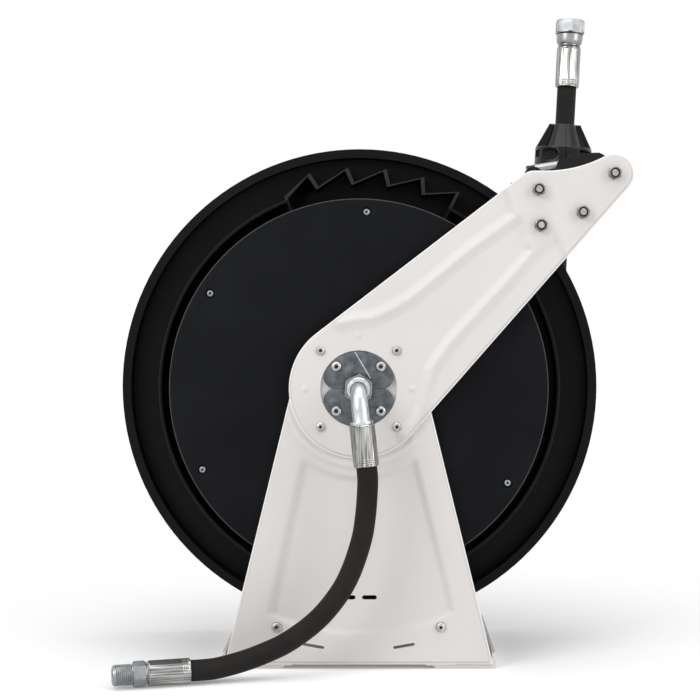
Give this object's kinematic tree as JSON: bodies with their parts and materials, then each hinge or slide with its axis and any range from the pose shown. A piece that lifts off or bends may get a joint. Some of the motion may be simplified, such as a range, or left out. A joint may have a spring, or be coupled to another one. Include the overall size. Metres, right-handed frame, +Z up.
{
  "type": "fire hose reel",
  "caption": "Open spring-rewind hose reel: drum with hose between two pressed-steel pedestals, ratchet ring, roller hose guide on twin arms, hose stopper and inlet hose.",
  "frame": {"origin": "on the floor, in the middle of the base plate's four mounting holes", "axes": "+X to the right seen from the ratchet side, +Y away from that side along the drum axis, +Z up"},
  "size_m": [0.5235, 0.3164, 0.6759],
  "materials": {
    "painted_steel": "semi-gloss powder coat",
    "zinc_plate": "zinc plated, mottled",
    "zinc_steel": "bright zinc plated",
    "screws": "zinc plated",
    "dark_steel": "dark steel",
    "spring_steel": "blued spring steel",
    "black_plastic": "satin",
    "gloss_black": "gloss",
    "hose_rubber": "cloth-wrapped matt rubber",
    "seal_rubber": "matt",
    "bush_plastic": "natural",
    "brass": "machined"
  },
  "bodies": {
    "frame": {"base_plate": "painted_steel", "front_pedestal": "painted_steel", "rear_pedestal": "painted_steel", "front_arm": "painted_steel", "rear_arm": "painted_steel", "pedestal_screws": "screws", "front_hub_carrier": "dark_steel", "rear_hub_carrier": "dark_steel", "hub_screws": "screws", "upper_retainer_plate": "zinc_plate", "lower_retainer_plate": "zinc_plate", "retainer_screws": "screws", "axle": "zinc_steel", "axle_circlip": "dark_steel", "axle_seals": "seal_rubber", "spring_arbor": "dark_steel", "inlet_elbow": "zinc_steel", "elbow_ferrule": "zinc_steel", "inlet_hose": "hose_rubber", "inlet_hose_ferrule": "zinc_steel", "inlet_fitting": "zinc_steel", "front_guide_cheek": "black_plastic", "rear_guide_cheek": "black_plastic", "guide_bolts": "screws", "guide_nuts": "dark_steel", "roller_pins": "zinc_steel", "stopper_left_half": "gloss_black", "stopper_right_half": "gloss_black", "stopper_screws": "screws", "hose_lead": "hose_rubber", "hose_end_ferrule": "zinc_steel", "hose_end_stem": "zinc_steel", "pawl_stud": "zinc_steel", "pawl_spring": "dark_steel", "pawl_clip": "dark_steel"},
    "drum": {"front_flange": "black_plastic", "spring_case": "black_plastic", "spring_cover": "black_plastic", "cover_screws": "screws", "main_spring": "spring_steel", "drum_core": "black_plastic", "rear_flange": "black_plastic", "flange_screws": "screws", "drum_bushes": "bush_plastic", "swivel_housing": "brass", "drum_outlet": "brass", "wound_hose": "hose_rubber"},
    "pawl": {"pawl": "dark_steel"},
    "left_roller": {"left_roller": "black_plastic"},
    "right_roller": {"right_roller": "black_plastic"},
    "front_cross_roller": {"front_cross_roller": "zinc_steel"},
    "rear_cross_roller": {"rear_cross_roller": "zinc_steel"},
    "swivel_nut": {"swivel_nut": "zinc_steel"}
  },
  "joints": [
    {"name": "drum_spin", "type": "hinge", "parent": "frame", "child": "drum", "pos_m": [0, 0, 0.282], "axis": [0, -1, 0], "range_deg": [0, 4590], "stiffness_Nm_per_rad": 0.125, "springref_deg": -2750.2},
    {"name": "pawl_swing", "type": "hinge", "parent": "frame", "child": "pawl", "pos_m": [0.1925, -0.0498, 0.4219], "axis": [0, -1, 0], "range_deg": [0, 28]},
    {"name": "left_roller_spin", "type": "hinge", "parent": "frame", "child": "left_roller", "pos_m": [0.19356, 0, 0.49168], "axis": [0, 1, 0], "continuous": true},
    {"name": "right_roller_spin", "type": "hinge", "parent": "frame", "child": "right_roller", "pos_m": [0.24149, 0, 0.48904], "axis": [0, 1, 0], "continuous": true},
    {"name": "front_cross_roller_spin", "type": "hinge", "parent": "frame", "child": "front_cross_roller", "pos_m": [0.2183, -0.0898, 0.5087], "axis": [0.9863, 0, 0.165], "continuous": true},
    {"name": "rear_cross_roller_spin", "type": "hinge", "parent": "frame", "child": "rear_cross_roller", "pos_m": [0.2183, 0.0898, 0.5087], "axis": [0.9863, 0, 0.165], "continuous": true},
    {"name": "swivel_nut_spin", "type": "hinge", "parent": "frame", "child": "swivel_nut", "pos_m": [0.22729, 0.0137, 0.66769], "axis": [0.055, 0, 0.9985], "continuous": true}
  ]
}
